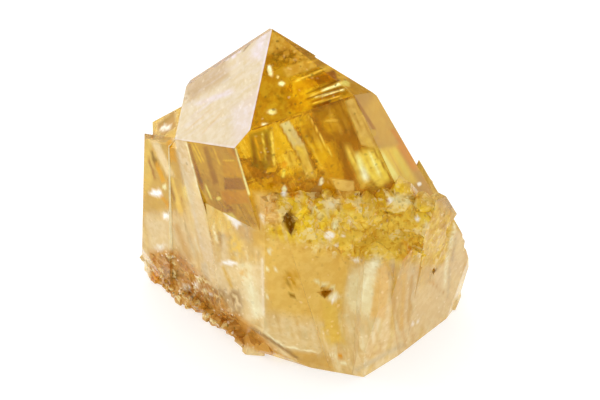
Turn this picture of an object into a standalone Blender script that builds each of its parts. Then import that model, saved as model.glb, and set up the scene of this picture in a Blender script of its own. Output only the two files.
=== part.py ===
"""A natural citrine point: one large quartz crystal with smaller crystals grown on to it.

Everything is one piece of quartz, so every crystal is joined into one solid, citrine_point.
Lengths in the tables are millimetres and angles are degrees. X runs to the right, Y away from the
front and Z up. The specimen rests on its broken foot, on the plane Z = 0.
"""

import math
import random

import bmesh
import bpy
from mathutils import Matrix, Vector

MM = 0.001
NAME = "citrine_point"
BLOCK = 120.0
Z_UP = Vector((0, 0, 1))
CITRINE_COLOUR = (0.76, 0.49, 0.11, 1.0)

# The main crystal's axis leaves the foot here and leans to the left and to the front.
MAIN_FOOT = (6.3, 0.2, 0.0)
MAIN_LEAN = (-0.236, -0.111)
UPRIGHT = (0.0, 0.0)
# A flat face is its direction round the axis, the rise of its normal above the plane square to
# the axis, and its distance from the axis' foot.
MAIN_PRISM = (
    (157.7, 3.6, 15.65),
    (227.6, 1.6, 14.48),
    (279.3, 2.0, 13.05),
    (338.7, 8.05, 21.32),
    (39.8, 12.8, 17.51),
    (99.2, 5.0, 15.6),
)
MAIN_TIP = (
    (158.3, 60.6, 45.54),
    (215.4, 50.3, 40.52),
    (276.8, 49.1, 41.57),
    (11.44, 44.45, 39.22),
    (39.8, 31.66, 29.0),
    (99.0, 35.24, 30.62),
)
# The top of the ridge behind the point stands one growth step higher than the rest of it.
RIDGE_SIDE = 4
RIDGE_STEP = 0.3
RIDGE_END = ((2.4, -9.5, 49.8), (0.8, -0.3, -0.5))

# Later crystals that grew with their own tips: tip point, lean of the axis, turn round it,
# distance of the six prism faces from the axis, and rise of the six tip faces.
CRYSTALS = {
    "right": ((17.9, -3.2, 28.9), (-0.10, 0.02), 14, (5.4, 5.5, 5.0, 5.0, 5.6, 5.0), 22),
    "right_low": ((24.6, -5.0, 17.2), (0.06, -0.02), 20, (1.6, 4.0, 3.6, 3.4, 2.8, 2.0), 38),
    "front": ((11.2, -15.9, 22.2), (0.05, 0.09), 14, (3.2, 4.0, 3.0, 2.2, 2.9, 2.9), 55),
    "front_right": ((15.2, -13.6, 20.6), (0.04, 0.06), 22, (3.0, 3.6, 3.0, 3.4, 3.0, 2.2), 56),
    "lower_right": ((20.8, -9.8, 18.2), (0.06, 0.06), 10, (3.0, 3.6, 3.4, 3.4, 3.0, 2.4), 52),
    "back": ((1.5, 11.4, 36.0), (-0.20, 0.02), 40, (5.2, 7.4, 5.6, 6.6, 6.4, 5.2), 44),
    "back_left": ((-10.6, 11.8, 27.0), (-0.24, 0.08), 36, (6.4, 5.0, 4.2, 6.4, 5.4, 4.4), 46),
    "back_right": ((12.6, 9.0, 25.5), (-0.08, 0.10), 32, (7.6, 5.2, 6.4, 6.0, 4.6, 6.0), 42),
    "back_low": ((6.6, 17.4, 15.0), (-0.10, 0.16), 25, (4.4, 3.2, 3.6, 4.0, 3.2, 3.8), 45),
    "back_low_left": ((-4.4, 18.0, 19.0), (-0.24, 0.14), 44, (3.0, 3.8, 3.2, 4.0, 3.4, 3.0), 47),
    "back_edge": ((19.4, 5.0, 17.5), (0.10, 0.12), 18, (3.8, 3.4, 3.0, 4.2, 3.4, 3.0), 41),
}

# Broad later growth that lies against the main crystal: world azimuth, rise and distance.
SHEETS = {
    "front": (
        (266.0, -2.0, 16.0),
        (228.0, -1.0, 15.3),
        (190.0, -6.0, 12.8),
        (90.0, 0.0, -6.0),
        (15.0, 14.9, 0.4),
        (275.0, 60.0, 33.6),
    ),
    "middle": (
        (282.0, 5.0, 18.1),
        (320.0, 10.0, 20.4),
        (195.0, -14.9, 0.0),
        (100.0, 0.0, 4.0),
        (10.0, 5.0, 23.2),
        (285.0, 60.0, 33.4),
        (40.0, 45.0, 24.5),
        (0.0, 90.0, 31.5),
    ),
    "apron": (
        (252.5, 8.0, 14.93),
        (180.0, 0.0, 0.0),
        (90.0, 0.0, -5.0),
        (270.0, 60.0, 26.0),
        (0.0, 0.0, 16.5),
    ),
    "left": (
        (226.0, -8.0, 12.94),
        (183.0, 3.0, 25.1),
        (205.0, 62.0, 38.2),
        (60.0, 40.0, 11.2),
        (300.0, -12.0, -11.6),
        (10.0, 0.0, -13.0),
    ),
    "left_fill": (
        (226.0, -9.0, 12.2),
        (183.0, 0.0, 22.0),
        (212.6, 35.3, 34.4),
        (90.0, 20.0, 6.2),
        (0.0, 13.9, -8.17),
    ),
    "left_rear": (
        (212.6, 35.3, 31.4),
        (236.0, -8.0, 8.2),
        (183.0, 0.0, 22.3),
        (85.0, 25.0, 15.6),
        (0.0, 0.0, -12.0),
    ),
    "root": (
        (0.0, -10.0, 21.0),
        (60.0, -8.0, 17.5),
        (120.0, -8.0, 17.5),
        (180.0, -5.0, 19.5),
        (230.0, 0.0, 9.5),
        (270.0, 0.0, 12.0),
        (310.0, 0.0, 14.0),
        (80.0, 72.0, 15.0),
    ),
}

# Outline of the broken foot where it rests, counter-clockwise, and how far each side flares out.
FOOT = (
    (-24.3, 10.3, 22),
    (-21.0, 4.6, 26),
    (-13.8, -3.1, 40),
    (-7.1, -11.5, 40),
    (1.8, -16.4, 14),
    (10.4, -19.1, 8),
    (15.0, -13.1, 10),
    (21.2, -6.5, 12),
    (24.9, 1.4, 12),
    (24.0, 11.5, 14),
    (15.5, 18.5, 12),
    (0.5, 20.5, 12),
    (-13.5, 19.0, 14),
    (-22.0, 15.0, 12),
)

# Small crystals crowded on the front: range of the tips in X and in Z, how far they stand out
# of the face, their half width, and how many.
CLUSTERS = (
    ((-4.5, 4.0), (27.0, 31.0), (0.2, 0.8), (0.8, 1.6), 10),
    ((2.0, 14.0), (26.5, 31.0), (0.2, 0.8), (1.0, 2.3), 20),
    ((4.0, 14.0), (23.5, 27.0), (0.1, 0.7), (1.0, 2.0), 18),
    ((12.0, 20.0), (17.5, 28.0), (0.2, 1.0), (1.0, 2.3), 24),
)
# Pits in the front: middle of the mouth, half width, half height, depth, turn and sides.
PITS = (
    ((-1.6, -17.9, 25.7), 1.7, 2.8, 3.4, -8, 4),
    ((3.7, -17.4, 13.5), 1.9, 1.2, 2.6, 0, 3),
    ((20.3, -10.0, 12.7), 0.6, 1.3, 2.0, 0, 4),
)
# Broken rim, in bands along the foot's outline: range of the place, height above the ground,
# half size, how far the flat outer breaks stand out, and how many chips.
CHIPS = (
    ((0.1, 3.3), (0.0, 2.4), (0.7, 1.6), (0.05, 0.35), 22),
    ((8.0, 14.0), (0.0, 3.6), (1.2, 2.8), (0.2, 1.0), 30),
)
# Tiny crystals on the rusty side of the rim: range of the place along the foot's outline, height,
# half width and how many.
DRUSE = ((0.1, 2.9), (0.8, 5.2), (0.35, 0.8), 44)
CLEAR_OF_PITS = 3.2
SEED = 11


def axis_frame(lean):
    """Rotation whose +Z is an axis that leans by the two shares in X and Y."""
    axis = Vector((lean[0], lean[1], math.sqrt(1 - lean[0] ** 2 - lean[1] ** 2)))
    across = Vector((1, 0, 0)) - lean[0] * axis
    across.normalize()
    return Matrix((across, axis.cross(across), axis)).transposed()


def direction(azimuth, rise):
    """Unit vector at an angle round +Z and an angle above the XY plane."""
    flat = math.cos(math.radians(rise))
    turn = math.radians(azimuth)
    return Vector((flat * math.cos(turn), flat * math.sin(turn), math.sin(math.radians(rise))))


def cut(mesh, point, normal):
    """Takes off what lies beyond a plane and closes the cut with one flat face."""
    everything = mesh.verts[:] + mesh.edges[:] + mesh.faces[:]
    made = bmesh.ops.bisect_plane(
        mesh, geom=everything, dist=1e-4, plane_co=point, plane_no=normal, clear_outer=True
    )
    rim = [part for part in made["geom_cut"] if isinstance(part, bmesh.types.BMEdge)]
    if rim:
        bmesh.ops.edgeloop_fill(mesh, edges=rim)


def faceted_solid(foot, lean, faces):
    """A block cut down to the given flat faces."""
    mesh = bmesh.new()
    bmesh.ops.create_cube(mesh, size=BLOCK)
    frame = axis_frame(lean)
    foot = Vector(foot)
    for azimuth, rise, distance in faces:
        normal = frame @ direction(azimuth, rise)
        cut(mesh, foot + normal * distance, normal)
    return mesh


def crystal(tip, lean, turn, widths, rise):
    """A six-sided crystal whose tip faces all meet in one point."""
    prism = [(turn + 60 * side, 0, width) for side, width in enumerate(widths)]
    point = [(turn + 60 * side, rise, 0) for side in range(6)]
    return faceted_solid(tip, lean, prism + point)


def face_depth(face, x, z):
    """Y of a world face above the point x, z."""
    normal = direction(face[0], face[1])
    return (face[2] - normal.x * x - normal.z * z) / normal.y


def front_depth(x, z):
    """Y of the outermost front face: the main prism, or a sheet that lies on it."""
    axis = axis_frame(MAIN_LEAN)
    azimuth, rise, distance = MAIN_PRISM[2]
    normal = axis @ direction(azimuth, rise)
    reach = distance + normal.dot(Vector(MAIN_FOOT))
    main_y = (reach - normal.x * x - normal.z * z) / normal.y
    sheets = [face_depth(face, x, z) for face in SHEETS["middle"][:2]]
    return min(main_y, max(sheets))


def add_clusters(collection):
    rng = random.Random(SEED)
    for zone, (across, height, stand, size, count) in enumerate(CLUSTERS):
        for index in range(count):
            x, z = rng.uniform(*across), rng.uniform(*height)
            tip = Vector((x, front_depth(x, z) - rng.uniform(*stand), z))
            if any((tip - Vector(pit[0])).length < CLEAR_OF_PITS for pit in PITS):
                continue
            lean = (MAIN_LEAN[0] + rng.gauss(0, 0.12), MAIN_LEAN[1] - 0.45 + rng.gauss(0, 0.1))
            width = rng.uniform(*size)
            widths = [width * rng.uniform(0.7, 1.3) for side in range(6)]
            mesh = crystal(tip, lean, 39 + rng.gauss(0, 14), widths, rng.uniform(38, 52))
            cut(mesh, tip + Vector((0, 6, -6)), (0, 0.7, -0.7))
            add_object(f"small_{zone}_{index}", mesh, collection)


def chip(middle, size, rng):
    """An angular splinter with flat broken faces."""
    mesh = bmesh.new()
    bmesh.ops.create_cube(mesh, size=2.2 * size)
    bmesh.ops.translate(mesh, vec=middle, verts=mesh.verts)
    for side in range(9):
        normal = direction(rng.uniform(0, 360), math.degrees(math.asin(rng.uniform(-1, 1))))
        cut(mesh, Vector(middle) + normal * size * rng.uniform(0.7, 1.05), normal)
    return mesh


def foot_point(along, height):
    """Place on the foot's flared side, counted in sides of its outline, and its outward way."""
    side = int(along) % len(FOOT)
    start = Vector(FOOT[side][:2])
    end = Vector(FOOT[(side + 1) % len(FOOT)][:2])
    run = (end - start).normalized()
    outward = Vector((run.y, -run.x, 0))
    reach = height * math.tan(math.radians(FOOT[side][2]))
    return start.lerp(end, along - int(along)).to_3d() + outward * reach + Z_UP * height, outward


def add_rim(collection):
    rng = random.Random(SEED)
    for band, (along, height, size, stand, count) in enumerate(CHIPS):
        for index in range(count):
            place, outward = foot_point(rng.uniform(*along), rng.uniform(*height))
            half = rng.uniform(*size)
            mesh = chip(place - outward * half * 0.7, half, rng)
            cut(mesh, place + outward * rng.uniform(*stand), outward)
            add_object(f"chip_{band}_{index}", mesh, collection)
    along, height, size, count = DRUSE
    for index in range(count):
        place, outward = foot_point(rng.uniform(*along), rng.uniform(*height))
        tip = place + outward * rng.uniform(0.0, 0.4)
        way = outward + Vector((rng.gauss(0, 0.2), rng.gauss(0, 0.2), rng.uniform(0.2, 0.8)))
        lean = way.normalized().xy
        width = rng.uniform(*size)
        mesh = crystal(tip, lean, rng.uniform(0, 60), [width] * 6, rng.uniform(38, 48))
        cut(mesh, place - outward * 2.5, -outward)
        add_object(f"druse_{index}", mesh, collection)


def add_pits(collection):
    for index, (middle, width, height, depth, turn, sides) in enumerate(PITS):
        mesh = bmesh.new()
        bmesh.ops.create_cone(mesh, cap_ends=True, segments=sides, radius1=1, radius2=0.1, depth=1)
        bmesh.ops.translate(mesh, vec=Z_UP / 2, verts=mesh.verts)
        stand = Matrix.Rotation(math.radians(turn), 4, "Y") @ Matrix.Rotation(-math.pi / 2, 4, "X")
        shape = Matrix.Translation(middle) @ stand @ Matrix.Diagonal((width, height, depth, 1))
        bmesh.ops.transform(mesh, matrix=shape, verts=mesh.verts)
        add_object(f"pit_{index}", mesh, collection)


def add_object(name, mesh, collection):
    """Turns a millimetre bmesh into an object in metres."""
    bmesh.ops.scale(mesh, vec=(MM, MM, MM), verts=mesh.verts)
    bmesh.ops.recalc_face_normals(mesh, faces=mesh.faces)
    data = bpy.data.meshes.new(name)
    mesh.to_mesh(data)
    mesh.free()
    made = bpy.data.objects.new(name, data)
    collection.objects.link(made)
    return made


def foot_solid():
    """What is left of the specimen inside its broken foot."""
    mesh = bmesh.new()
    bmesh.ops.create_cube(mesh, size=BLOCK)
    cut(mesh, -Z_UP * 5, -Z_UP)
    for index, (x, y, flare) in enumerate(FOOT):
        next_x, next_y, _ = FOOT[(index + 1) % len(FOOT)]
        azimuth = math.degrees(math.atan2(next_y - y, next_x - x)) - 90
        cut(mesh, (x, y, 0), direction(azimuth, -flare))
    return mesh


def ridge_solid():
    """The upper end of the main crystal, with its back ridge one growth step higher."""
    tip = list(MAIN_TIP)
    azimuth, rise, distance = tip[RIDGE_SIDE]
    tip[RIDGE_SIDE] = (azimuth, rise, distance + RIDGE_STEP)
    mesh = faceted_solid(MAIN_FOOT, MAIN_LEAN, MAIN_PRISM + tuple(tip))
    cut(mesh, *RIDGE_END)
    return mesh


def ground_solid():
    """The space above the plane that the specimen rests on."""
    mesh = bmesh.new()
    bmesh.ops.create_cube(mesh, size=BLOCK)
    cut(mesh, (0, 0, 0), -Z_UP)
    return mesh


def citrine_material():
    made = bpy.data.materials.new("citrine")
    made.use_nodes = True
    shader = made.node_tree.nodes["Principled BSDF"]
    shader.inputs["Base Color"].default_value = CITRINE_COLOUR
    shader.inputs["Roughness"].default_value = 0.08
    shader.inputs["Metallic"].default_value = 0.0
    shader.inputs["IOR"].default_value = 1.544
    return made


def hidden_collection(name):
    made = bpy.data.collections.new(name)
    bpy.context.scene.collection.children.link(made)
    return made


def hide_cutters(collection):
    for cutter in collection.objects:
        cutter.hide_render = True
        cutter.display_type = "WIRE"


def boolean(target, operation, collection):
    modifier = target.modifiers.new(operation.title(), "BOOLEAN")
    modifier.operation = operation
    modifier.operand_type = "COLLECTION"
    modifier.collection = collection
    modifier.solver = "EXACT"


def main():
    for old in list(bpy.data.objects):
        bpy.data.objects.remove(old)
    collection = hidden_collection("citrine")
    grown = hidden_collection("grown_on")
    limits = hidden_collection("broken_off")
    rim = hidden_collection("rim")
    pits = hidden_collection("pits")
    ground = hidden_collection("ground")
    point = add_object(NAME, faceted_solid(MAIN_FOOT, MAIN_LEAN, MAIN_PRISM + MAIN_TIP), collection)
    point.data.materials.append(citrine_material())
    add_object("ridge_step", ridge_solid(), grown)
    for name, entry in CRYSTALS.items():
        add_object(f"grown_{name}", crystal(*entry), grown)
    for name, faces in SHEETS.items():
        add_object(f"sheet_{name}", faceted_solid((0, 0, 0), UPRIGHT, faces), grown)
    add_clusters(grown)
    add_object("foot_limit", foot_solid(), limits)
    add_rim(rim)
    add_pits(pits)
    add_object("above_ground", ground_solid(), ground)
    boolean(point, "UNION", grown)
    boolean(point, "INTERSECT", limits)
    boolean(point, "UNION", rim)
    boolean(point, "DIFFERENCE", pits)
    boolean(point, "INTERSECT", ground)
    for cutters in (grown, limits, rim, pits, ground):
        hide_cutters(cutters)


main()
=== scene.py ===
"""Looks of the citrine point: clear golden quartz that turns milky towards its broken foot.

The crystal is one closed mesh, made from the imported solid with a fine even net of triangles. Its
faces get shallow growth relief, and its face corners carry what the material reads: the colour,
the clearness, the roughness, and how broken, frosted and specked each place is. Lengths are
millimetres until a mesh is handed over in metres.
"""

import math

import bmesh
import bpy
import numpy as np
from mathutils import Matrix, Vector

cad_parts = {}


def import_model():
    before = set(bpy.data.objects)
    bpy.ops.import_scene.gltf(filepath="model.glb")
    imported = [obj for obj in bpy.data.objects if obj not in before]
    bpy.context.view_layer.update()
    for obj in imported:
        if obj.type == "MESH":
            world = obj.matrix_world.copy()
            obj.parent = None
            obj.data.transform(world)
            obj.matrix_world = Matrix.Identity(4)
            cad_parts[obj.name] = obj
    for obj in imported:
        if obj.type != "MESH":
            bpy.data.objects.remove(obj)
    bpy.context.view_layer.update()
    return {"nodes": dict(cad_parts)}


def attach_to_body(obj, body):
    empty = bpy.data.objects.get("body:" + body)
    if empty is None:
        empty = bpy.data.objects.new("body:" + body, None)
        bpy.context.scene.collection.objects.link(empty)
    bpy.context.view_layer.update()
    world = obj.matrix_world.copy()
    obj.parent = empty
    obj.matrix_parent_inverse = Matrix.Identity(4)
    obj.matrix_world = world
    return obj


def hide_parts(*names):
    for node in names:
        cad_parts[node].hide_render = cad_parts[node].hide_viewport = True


MM = 0.001
NODE = "citrine_point"
# The camera stands in front, 30 degrees up, with a long lens.
CAMERA_AT = (0.0, -299.6, 193.0)
CAMERA_TO = (0.0, 0.0, 20.0)
LENS = 135.0
SENSOR = 36.0
FRAME_SIZE = (600, 400)

# Faces that are painted by name: azimuth and rise of the normal, and distance from the origin.
FACES = {
    "tip_left": (212.6, 35.3, 36.1),
    "tip_front": (262.0, 42.3, 40.77),
    "tip_side": (4.9, 58.9, 42.47),
    "prism_front": (278.6, -2.4, 13.79),
    "prism_left": (227.4, -12.4, 10.17),
    "prism_right": (335.3, 18.1, 26.68),
    "break_right": (322.5, -8.0, 19.68),
    "notch": (300.0, -12.0, -11.6),
    "base": (0.0, -90.0, 0.0),
}
# A triangle is on a named face by the cosine between their normals and by its distance from it.
SAME_WAY = 0.9995
SAME_PLANE = 0.12
# The main crystal's front faces, which get the finest net.
FINE = ("tip_left", "tip_front", "tip_side", "prism_front", "prism_left", "prism_right")
# The longest triangle side on those, elsewhere and on the base.
FINE_EDGE = 0.32
EDGE = 0.95
BASE_EDGE = 3.0
# Packed points this near are one. Turns in degrees: below the first a solid's edge counts as
# flat, above the second an edge of the net shows as sharp.
WELD = 0.002
FLAT_TURN = 0.3
SHARP_TURN = 8
# Growth relief: the main crystal's axis, and the rise and size of the steps and of the waves.
AXIS = np.array((-0.236, -0.111, 0.965))
STEP_RISE = 0.03
STEP_LENGTH = 0.5
STEP_WIDTH = 9
WAVE_RISE = 0.08
WAVE_SIZE = 4.0
# Every octave of noise is finer, shifted, weaker and seeded anew.
FINER = 2.03
SHIFT = 11.7
WEAKER = 0.55
SEED_STEP = 17

scene = bpy.context.scene


def linear(red, green, blue):
    """An sRGB colour of 0 to 255 as linear light."""
    shares = (value / 255 for value in (red, green, blue))
    return np.array([s / 12.92 if s <= 0.04045 else ((s + 0.055) / 1.055) ** 2.4 for s in shares])


def direction(azimuth, rise):
    turn, up = math.radians(azimuth), math.radians(rise)
    return np.array((math.cos(turn) * math.cos(up), math.sin(turn) * math.cos(up), math.sin(up)))


def smooth(low, high, value):
    """A smooth step from 0 at the first number to 1 at the second."""
    share = np.clip((value - low) / (high - low), 0, 1)
    return share * share * (3 - 2 * share)


def hashed(cells, seed):
    """A repeatable number of 0 to 1 for each whole-number cell, by common hashing factors."""
    whole = cells.astype(np.int64)
    mixed = whole[..., 0] * 73856093 ^ whole[..., 1] * 19349663 ^ whole[..., 2] * 83492791
    mixed = (mixed ^ (seed * 2654435761)) & 0xFFFFFFFF
    mixed = ((mixed ^ (mixed >> 15)) * 2246822519) & 0xFFFFFFFF
    mixed = ((mixed ^ (mixed >> 13)) * 3266489917) & 0xFFFFFFFF
    return ((mixed ^ (mixed >> 16)) & 0xFFFFFF) / 0xFFFFFF


def noise(points, size, seed, octaves=3):
    """Smooth noise of 0 to 1 whose largest features have this size, a number or one per axis."""
    total, weight, share = 0.0, 0.0, 1.0
    places = points / np.asarray(size, float)
    for octave in range(octaves):
        base = np.floor(places)
        local = places - base
        local = local * local * (3 - 2 * local)
        value = 0.0
        for corner in range(8):
            step = np.array((corner & 1, corner >> 1 & 1, corner >> 2 & 1))
            near = np.where(step, local, 1 - local).prod(-1)
            value = value + near * hashed(base + step, seed + SEED_STEP * octave)
        total = total + share * value
        weight = weight + share
        places = places * FINER + SHIFT
        share = share * WEAKER
    return total / weight


def camera_view(points):
    """Where points show in the picture, in pixels from its top left."""
    at, to = np.array(CAMERA_AT), np.array(CAMERA_TO)
    ahead = (to - at) / np.linalg.norm(to - at)
    right = np.cross(ahead, (0, 0, 1))
    right = right / np.linalg.norm(right)
    up = np.cross(right, ahead)
    away = points - at
    scale = LENS / SENSOR * FRAME_SIZE[0] / (away @ ahead)
    x = FRAME_SIZE[0] / 2 + away @ right * scale
    y = FRAME_SIZE[1] / 2 - away @ up * scale
    return np.stack((x, y), -1)


class Paint:
    """What every face corner carries for the material, painted on in layers.

    Crackle tilts and tints small cells, frost is a fine haze, light specks are painted glints and
    dark ones are specks, and wobble makes the edges of spots ragged.
    """

    LAYERS = ("colour", "clear", "rough", "crackle", "frost", "light", "dark", "wobble")
    RAGGED = 0.9

    def __init__(self, points, triangles, normals, faces):
        self.points = points
        self.corner = triangles.ravel()
        self.at = points[self.corner]
        self.seen = camera_view(points)[self.corner]
        self.normal = np.repeat(normals, 3, axis=0)
        self.face = np.repeat(faces, 3)
        for name in self.LAYERS:
            setattr(self, name, np.zeros(len(self.at)))
        self.colour = np.zeros((len(self.at), 3))
        self.wobble = 1 + self.RAGGED * (self.grain(*RAGGED_GRAIN) - 0.5)

    def cloud(self, size, seed):
        """Noise in space, of a size in millimetres."""
        return noise(self.points, size, seed)[self.corner]

    def grain(self, along, size, seed):
        """Noise in the front view, with its first size in pixels along a direction."""
        along = np.array(along) / np.hypot(*along)
        seen = camera_view(self.points)
        across = np.array((-along[1], along[0]))
        places = np.c_[seen @ along / size[0], seen @ across / size[1], np.zeros(len(seen))]
        return noise(places, 1.0, seed)[self.corner]

    def on(self, *names):
        """Mask of named faces."""
        return np.isin(self.face, [list(FACES).index(name) for name in names]).astype(float)

    def rows(self, rows):
        """The chosen corners as a smaller Paint, to be marked and put back."""
        part = Paint.__new__(Paint)
        part.seen = self.seen[rows]
        for name in self.LAYERS:
            setattr(part, name, getattr(self, name)[rows])
        return part

    def put_back(self, rows, part):
        for name in self.LAYERS:
            getattr(self, name)[rows] = getattr(part, name)

    def lay(self, mask, colour=None, **layers):
        """Lays a colour, and a value for any of the other layers, where the mask is."""
        mask = np.clip(mask, 0, 1)
        if colour is not None:
            self.colour += mask[:, None] * (colour - self.colour)
        for name, value in layers.items():
            layer = getattr(self, name)
            layer += mask * (value - layer)

    def weigh(self, name):
        """Fits the colours of a named face to the light that it catches."""
        self.colour *= 1 + self.on(name)[:, None] * (np.array(FACE_SHARES[name]) - 1)

    def strip(self, start, end, half, half_end, soft, ends=2.0):
        """Mask of a straight strip in the front view, with its half width at either end."""
        start, end = np.array(start, float), np.array(end, float)
        run = end - start
        length = np.linalg.norm(run)
        run = run / length
        along = (self.seen - start) @ run
        across = (self.seen - start) @ np.array((-run[1], run[0]))
        width = half + (half_end - half) * np.clip(along / length, 0, 1)
        inside = smooth(width + soft, width - soft, np.abs(across))
        return inside * smooth(-ends, ends, along) * smooth(length + ends, length - ends, along)

    def area(self, corners, soft):
        """Mask of a convex patch in the front view, its corners listed clockwise."""
        least = np.full(len(self.seen), np.inf)
        for index, corner in enumerate(corners):
            corner = np.array(corner, float)
            run = np.array(corners[(index + 1) % len(corners)], float) - corner
            run = run / np.linalg.norm(run)
            least = np.minimum(least, (self.seen - corner) @ np.array((-run[1], run[0])))
        return smooth(-soft, soft, least)

    def spot(self, middle, across, down, turn=0.0, soft=0.3):
        """Mask of an oval in the front view, with its half width and half height."""
        angle = math.radians(turn)
        away = self.seen - np.array(middle, float)
        x = away @ np.array((math.cos(angle), math.sin(angle))) / across
        y = away @ np.array((-math.sin(angle), math.cos(angle))) / down
        return smooth(1 + soft, 1 - soft, np.hypot(x, y) * self.wobble)

    def haze(self, middle, across, down, turn=0.0):
        """Mask of a ragged cloud in the front view."""
        return self.spot(middle, across, down, turn, soft=0.7) * smooth(0.85, 1.1, self.wobble)


def face_names(normals, middles):
    """For each triangle the number of its named face, or -1."""
    names = np.full(len(normals), -1)
    for number, (azimuth, rise, distance) in enumerate(FACES.values()):
        normal = direction(azimuth, rise)
        off_plane = np.abs(middles @ normal - distance)
        names[(normals @ normal > SAME_WAY) & (off_plane < SAME_PLANE)] = number
    return names


def flat_faces(points, triangles):
    """Unit normals and middles of triangles."""
    corners = points[triangles]
    normals = np.cross(corners[:, 1] - corners[:, 0], corners[:, 2] - corners[:, 0])
    normals = normals / np.maximum(np.linalg.norm(normals, axis=1), 1e-9)[:, None]
    return normals, corners.mean(axis=1)


def split_long(points, triangles, names, limits):
    """Cuts every triangle side that is longer than its limit in half, keeping the net closed."""
    sides = triangles[:, [0, 1, 1, 2, 2, 0]].reshape(-1, 2)
    pairs, where = np.unique(np.sort(sides, axis=1), axis=0, return_inverse=True)
    where = where.reshape(-1, 3)
    limit = np.full(len(pairs), np.inf)
    np.minimum.at(limit, where, np.repeat(limits[:, None], 3, axis=1))
    cut = np.linalg.norm(points[pairs[:, 0]] - points[pairs[:, 1]], axis=1) > limit
    middle = np.full(len(pairs), -1)
    middle[cut] = len(points) + np.arange(cut.sum())
    points = np.concatenate((points, points[pairs[cut]].mean(axis=1)))
    halves = middle[where]
    code = (halves >= 0) @ np.array((1, 2, 4))
    made, made_names = [triangles[code == 0]], [names[code == 0]]
    # For each pattern of cut sides: the new triangles, by corner (0 to 2) and middle (3 to 5).
    patterns = {
        1: ((0, 3, 2), (3, 1, 2)),
        2: ((1, 4, 0), (4, 2, 0)),
        4: ((2, 5, 1), (5, 0, 1)),
        3: ((3, 1, 4), (0, 3, 4), (0, 4, 2)),
        6: ((4, 2, 5), (1, 4, 5), (1, 5, 0)),
        5: ((5, 0, 3), (2, 5, 3), (2, 3, 1)),
        7: ((0, 3, 5), (3, 1, 4), (5, 4, 2), (3, 4, 5)),
    }
    for pattern, shapes in patterns.items():
        rows = np.concatenate((triangles, halves), axis=1)[code == pattern]
        for shape in shapes:
            made.append(rows[:, shape])
            made_names.append(names[code == pattern])
    return points, np.concatenate(made), np.concatenate(made_names), bool(cut.any())


def fine_net(frame):
    """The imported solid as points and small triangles, in millimetres, with each one's face."""
    mesh = bmesh.new()
    mesh.from_mesh(frame["nodes"][NODE].data)
    bmesh.ops.scale(mesh, vec=(1 / MM,) * 3, verts=mesh.verts)
    bmesh.ops.remove_doubles(mesh, verts=mesh.verts, dist=WELD)
    turn = math.radians(FLAT_TURN)
    bmesh.ops.dissolve_limit(mesh, angle_limit=turn, verts=mesh.verts, edges=mesh.edges)
    bmesh.ops.triangulate(mesh, faces=mesh.faces)
    mesh.verts.index_update()
    points = np.array([vertex.co for vertex in mesh.verts])
    triangles = np.array([[vertex.index for vertex in face.verts] for face in mesh.faces])
    mesh.free()
    names = face_names(*flat_faces(points, triangles))
    fine = [list(FACES).index(name) for name in FINE]
    cutting = True
    while cutting:
        limits = np.where(np.isin(names, fine), FINE_EDGE, EDGE)
        limits[names == list(FACES).index("base")] = BASE_EDGE
        points, triangles, names, cutting = split_long(points, triangles, names, limits)
    return points, triangles, names


def relief(points):
    """Height of the growth relief: fine steps across the axis and broad waves."""
    stretched = (points @ AXIS / STEP_LENGTH, points[:, 0] / STEP_WIDTH, points[:, 1] / STEP_WIDTH)
    steps = noise(np.stack(stretched, -1), 1.0, seed=5, octaves=2)
    waves = noise(points, WAVE_SIZE, seed=8)
    return STEP_RISE * (steps - 0.5) + WAVE_RISE * (waves - 0.5)


def raised(points, triangles):
    """The points with the growth relief on every flat area, none on sharp edges or the base."""
    normals, _ = flat_faces(points, triangles)
    total = np.zeros(points.shape)
    np.add.at(total, triangles, normals[:, None, :])
    length = np.linalg.norm(total, axis=1)
    count = np.bincount(triangles.ravel(), minlength=len(points))
    # Normals that agree add up to their count.
    flat = (length > 0.999 * count) & (points[:, 2] > 0.01)
    return points + (total / length[:, None]) * (relief(points) * flat)[:, None]


# How bright a white surface shows on the faces turned to the camera, in red, green and blue, and
# the most that a dye gives back.
FRONT_LIGHT = np.array((0.86, 0.8, 0.74))
BRIGHTEST = 0.98


def dye(red, green, blue):
    """The surface colour that shows as this sRGB colour in the front light."""
    return np.minimum(linear(red, green, blue) / FRONT_LIGHT, BRIGHTEST)


# Tints of what shines through.
CLEAR = np.array((1.0, 0.9, 0.62))
GOLD = np.array((0.95, 0.72, 0.22))
HONEY = np.array((1.0, 0.82, 0.4))
PALE_GOLD = np.array((0.98, 0.84, 0.5))
# Colours of haze, streaks and spots on the faces, from pale to dark. WHITE, SHELL and CREAM also
# paint highlights and glints, and STONE, TAN and SHADE also paint shade, where the tables say.
WHITE = dye(255, 252, 244)
LEMON = dye(255, 242, 178)
SHELL = dye(247, 228, 210)
CREAM = dye(246, 226, 186)
PALE = dye(244, 222, 176)
YELLOW = dye(247, 214, 108)
MILK = dye(232, 206, 156)
SUN = dye(246, 206, 92)
HAY = dye(252, 202, 84)
GLOW = dye(255, 200, 48)
STRAW = dye(240, 198, 96)
DUSK = dye(222, 196, 152)
PEACH = dye(230, 188, 118)
WHEAT = dye(226, 184, 96)
STONE = dye(206, 184, 146)
SAND = dye(214, 172, 84)
TAN = dye(210, 168, 98)
BRASS = dye(208, 152, 18)
OLIVE = dye(196, 152, 36)
OCHRE = dye(214, 150, 0)
RUST = dye(204, 148, 72)
ORANGE = dye(222, 145, 24)
AMBER = dye(190, 128, 12)
SHADE = dye(160, 126, 84)
UMBER = dye(164, 114, 46)
BROWN = dye(158, 100, 10)
MOSS = dye(140, 100, 10)
DARK = dye(116, 66, 8)
# Not every face catches the front light. Its colours are laid on as they should show, and then
# weighed by these shares of red, green and blue.
FACE_SHARES = {
    "tip_left": (0.7, 0.65, 0.76),
    "tip_front": (1.45, 1.5, 1.1),
    "tip_side": (0.98, 0.86, 0.33),
    "prism_left": (0.7, 0.6, 0.14),
    "prism_right": (0.8, 0.71, 0.4),
    "break_right": (0.86, 0.79, 0.68),
}
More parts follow.
